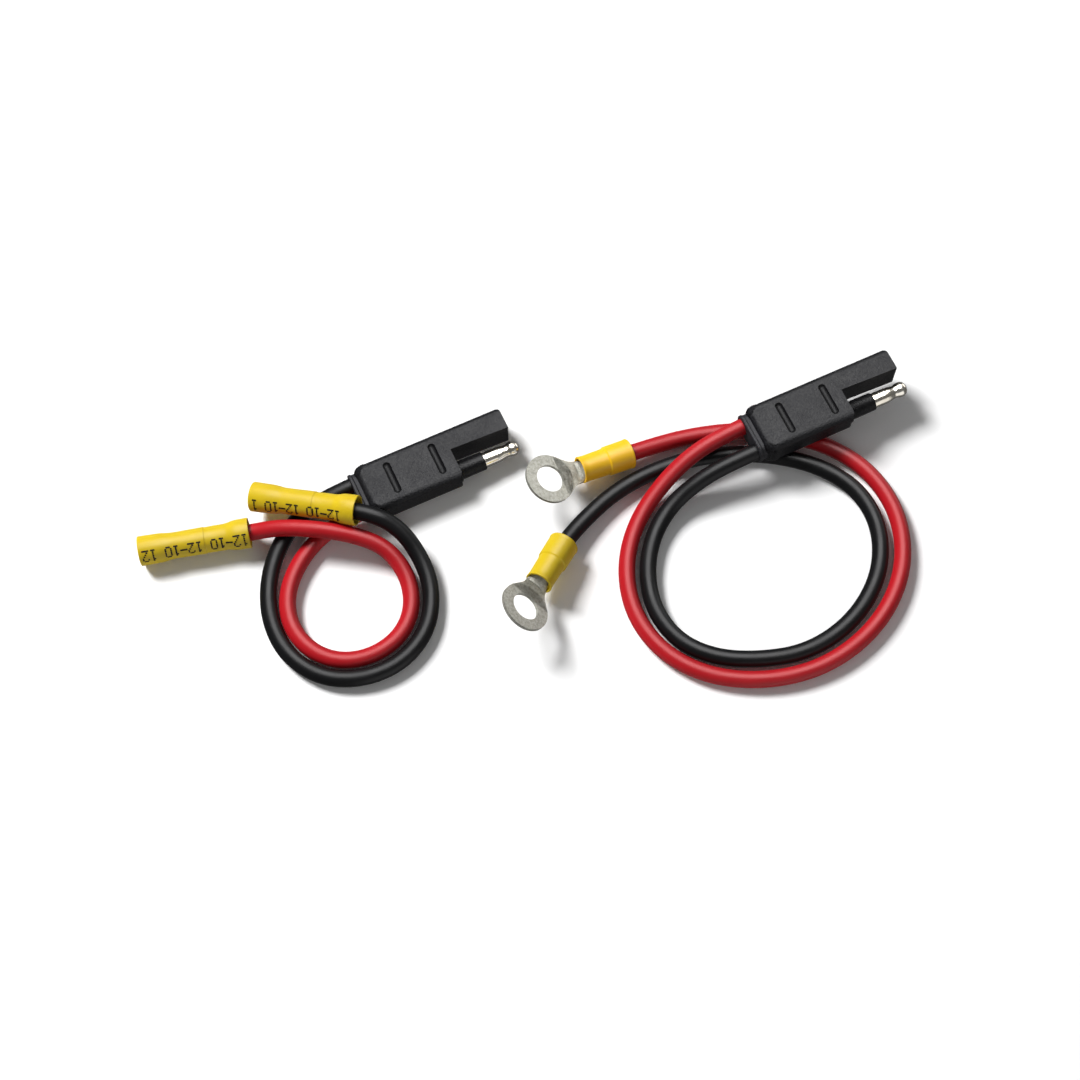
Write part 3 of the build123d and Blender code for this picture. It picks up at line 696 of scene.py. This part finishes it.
def makeRingTerminal(name, place):
    t = ringTerminal
    barrel = bmesh.new()
    bmesh.ops.create_circle(barrel, cap_ends=True, segments=t["barrelSides"], radius=t["barrelRadius"] * mm,
                            matrix=Matrix.Rotation(quarterTurn, 4, "Y"))
    loop = barrel.faces[:]
    stations = [(t["barrelEnd"], 1.0, 1.0, 0.0), *t["flats"]]
    lastX, lastWide, lastTall, lastDrop = 0.0, 1.0, 1.0, 0.0
    for x, wide, tall, drop in stations:
        made = bmesh.ops.extrude_face_region(barrel, geom=loop)["geom"]
        loop = [f for f in made if isinstance(f, bmesh.types.BMFace)]
        verts = list({v for f in loop for v in f.verts})
        bmesh.ops.translate(barrel, vec=((x - lastX) * mm, 0, -lastDrop * mm), verts=verts)
        bmesh.ops.scale(barrel, vec=(1, wide / lastWide, tall / lastTall), verts=verts)
        bmesh.ops.translate(barrel, vec=(0, 0, drop * mm), verts=verts)
        lastX, lastWide, lastTall, lastDrop = x, wide, tall, drop
    piece = makePiece(name, barrel, [tin])

    neck = raisePlan(t["neck"] + [(x, -y) for x, y in reversed(t["neck"])], t["thickness"])
    waistX = t["neck"][1][0] * mm
    waist = [e for e in neck.edges if all(abs(v.co.x - waistX) < samePlace for v in e.verts)
             and abs(e.verts[0].co.z - e.verts[1].co.z) > 0.5 * t["thickness"] * mm]
    roundEdges(neck, waist, t["neckRound"], t["neckSteps"])
    shoulder = Matrix.Translation((t["shoulderEnd"] * mm, 0, -t["drop"] * mm))
    tongue = shoulder @ Matrix.Rotation(math.radians(-t["rise"]), 4, "Y")
    neckPiece = makePiece("neck", neck, [tin], tongue)

    def disc(radius, depth):
        middle = tongue @ Matrix.Translation((t["ringCentre"] * mm, 0, 0))
        return makePiece("disc", makeRod(radius, depth, t["ringSides"]), [tin], middle)
    combine(piece, [neckPiece, disc(t["ringRadius"], t["thickness"])], "UNION")
    combine(piece, [disc(t["holeRadius"], t["holeDepth"])], "DIFFERENCE")
    softenEdges(piece, t["edgeRound"], t["flatFrom"], t["edgeAngle"])
    piece.data.transform(place)
    return piece


for name in routes:
    colour, end = name.split("_")[:2]
    half = end + "_half"
    covering = leadPieces[name]
    if end == "splice":
        place = terminalPlace(name)
        sleeve = makeSpliceSleeve(f"{colour}_splice_vinyl", place)
        mark = makeMarking(f"{colour}_splice_marking", sleeve, place, *marking["lays"][colour])
        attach(mark, half)
    else:
        place = terminalPlace(name, ringTerminal["rolls"][colour])
        vinyl = orangeVinyl if colour == "red" else lemonVinyl
        sleeve = makeRingSleeve(f"{colour}_ring_vinyl", place, vinyl)
        terminal = makeRingTerminal(f"{colour}_ring_eyelet", place)
        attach(terminal, half)
        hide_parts(f"{colour}_ring_terminal")
    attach(covering, half)
    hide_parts(name + "_insulation")
    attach(sleeve, half)
    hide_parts(f"{colour}_{end}_sleeve")
print("terminals fitted")


# CAD pieces that keep their own shape
keptNodes = {"_socket": nickel, "_barrel": tin, "_conductor": copper}
for node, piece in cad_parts.items():
    for ending, material in keptNodes.items():
        if node.endswith(ending):
            piece.data.materials.clear()
            piece.data.materials.append(material)
print("kept nodes finished")


# plain white table, a key light from the upper left and a weak fill from the near side; a soft box overhead
# and cards near and right show only as sheen, and the near one stands in for the table in the gloss
studio = {
    "keySpot": (-0.5, 0.9, 1.03), "keySize": 0.5, "keyPower": 34.0,
    "boxSpot": (0.13, 0.3, 0.8), "boxSize": 0.8, "boxPower": 17.0,
    "fillSpot": (0.0, -0.8, 0.5), "fillSize": 0.6, "fillPower": 1.2,
    "nearSpot": (0.1, -0.95, 0.0), "nearSize": 1.0, "nearPower": 3.2,
    "rightSpot": (0.95, 0.3, 0.12), "rightSize": 0.6, "rightPower": 2.0,
    "worldLight": 0.14, "tableHalf": 3.0,
}
tableShape = bmesh.new()
bmesh.ops.create_grid(tableShape, x_segments=1, y_segments=1, size=studio["tableHalf"])
tableCard, tableTree, tableCoords = startMaterial("matt white card")
# card fibre is far finer, this is only a faint cloudiness
fibre = addNode(
    tableTree, "ShaderNodeTexNoise", {"Scale": perMm(3.0), "Detail": 3.0}, {"Vector": tableCoords})
tableColour = addNode(
    tableTree, "ShaderNodeMix", {mixFrom: hexColour("#f8f8f8"), mixTo: hexColour("#fafafa")},
    {0: fibre.outputs["Fac"]}, data_type="RGBA")
finishMaterial(tableTree, {"Specular IOR Level": 0.2, "Roughness": 0.9}, {
    "Base Color": tableColour.outputs[mixResult]})
table = makePiece("table", tableShape, [tableCard])
table.visible_glossy = False


def addAreaLight(name, spot, size, power, inDiffuse, inGloss):
    light = bpy.data.lights.new(name, "AREA")
    light.size = size
    light.energy = power
    lamp = bpy.data.objects.new(name, light)
    bpy.context.scene.collection.objects.link(lamp)
    lamp.location = spot
    lamp.rotation_euler = (-Vector(spot)).to_track_quat("-Z", "Y").to_euler()
    lamp.visible_camera = False
    lamp.visible_diffuse = inDiffuse
    lamp.visible_glossy = inGloss


addAreaLight("key", studio["keySpot"], studio["keySize"], studio["keyPower"], True, False)
addAreaLight("soft box", studio["boxSpot"], studio["boxSize"], studio["boxPower"], False, True)
addAreaLight("near fill", studio["fillSpot"], studio["fillSize"], studio["fillPower"], True, False)
addAreaLight("near card", studio["nearSpot"], studio["nearSize"], studio["nearPower"], False, True)
addAreaLight("right card", studio["rightSpot"], studio["rightSize"], studio["rightPower"], False, True)
world = bpy.data.worlds.new("studio")
bpy.context.scene.world = world
world.use_nodes = True
background = world.node_tree.nodes["Background"]
background.inputs["Color"].default_value = (1.0, 1.0, 1.0, 1.0)
background.inputs["Strength"].default_value = studio["worldLight"]
print("studio lit")
